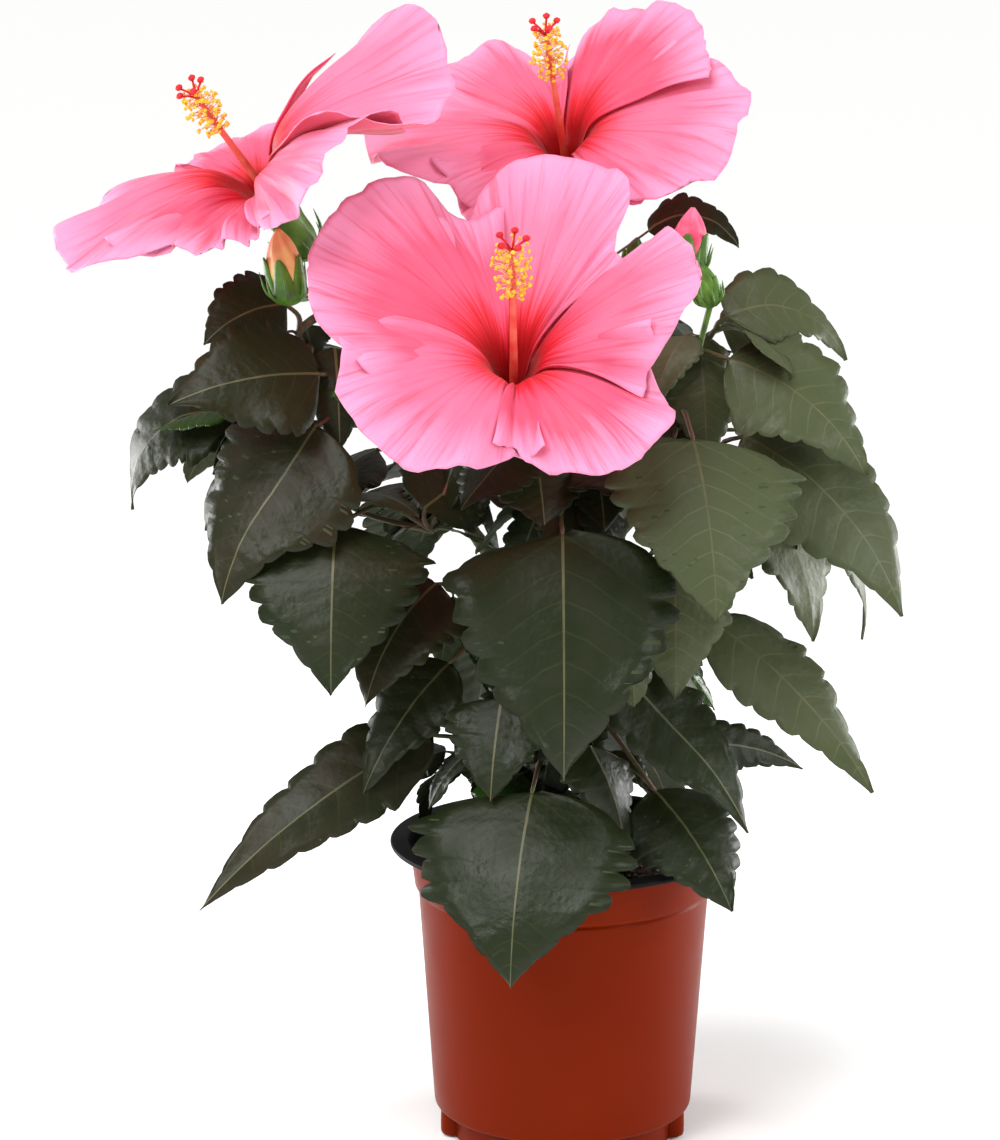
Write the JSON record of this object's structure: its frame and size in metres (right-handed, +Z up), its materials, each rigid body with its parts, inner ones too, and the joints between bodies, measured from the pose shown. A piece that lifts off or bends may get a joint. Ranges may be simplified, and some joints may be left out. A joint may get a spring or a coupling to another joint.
{
  "type": "potted hibiscus shrub",
  "caption": "Small flowering hibiscus shrub in a round plastic pot, with a short leaning trunk, forking boughs, drooping pointed leaves and wide frilled blooms.",
  "frame": {"origin": "centre of the pot's flat underside, where it stands", "axes": "+Z up; -Y towards the front of the plant, where its blooms face; +X to the right as seen from the front"},
  "size_m": [0.3043, 0.2303, 0.4194],
  "materials": {
    "pot": "moulded plastic, terracotta orange-brown outside and black inside",
    "soil": "moist dark potting soil with pale perlite",
    "bark": "smooth young bark, grey-brown turning green",
    "leaf": "dark glossy leaf",
    "petal": "satin petal, pink with a deep red throat",
    "stamen": "waxy red and cream"
  },
  "bodies": {
    "root": {"pot": "pot", "soil": "soil", "trunk": "bark", "bough_left": "bark", "bough_left_upper": "bark", "bough_front": "bark", "bough_front_upper": "bark", "bough_back": "bark", "bough_back_upper": "bark", "bough_right": "bark", "bough_rear_low": "bark", "bloom_front": "petal", "bloom_left": "petal", "bloom_back": "petal", "column_front": "stamen", "column_left": "stamen", "column_back": "stamen", "shoot_left_top": "leaf", "shoot_left": "leaf", "shoot_left_low": "leaf", "shoot_inner_left": "leaf", "skirt_left": "leaf", "skirt_front": "leaf", "shoot_front": "leaf", "shoot_right_top": "leaf", "shoot_right": "leaf", "shoot_right_low": "leaf", "shoot_inner_right": "leaf", "skirt_right": "leaf", "shoot_rear_left": "leaf", "shoot_rear_right": "leaf", "shoot_rear": "leaf", "shoot_rear_high": "leaf", "shoot_rear_low": "leaf", "skirt_rear": "leaf"}
  },
  "joints": []
}
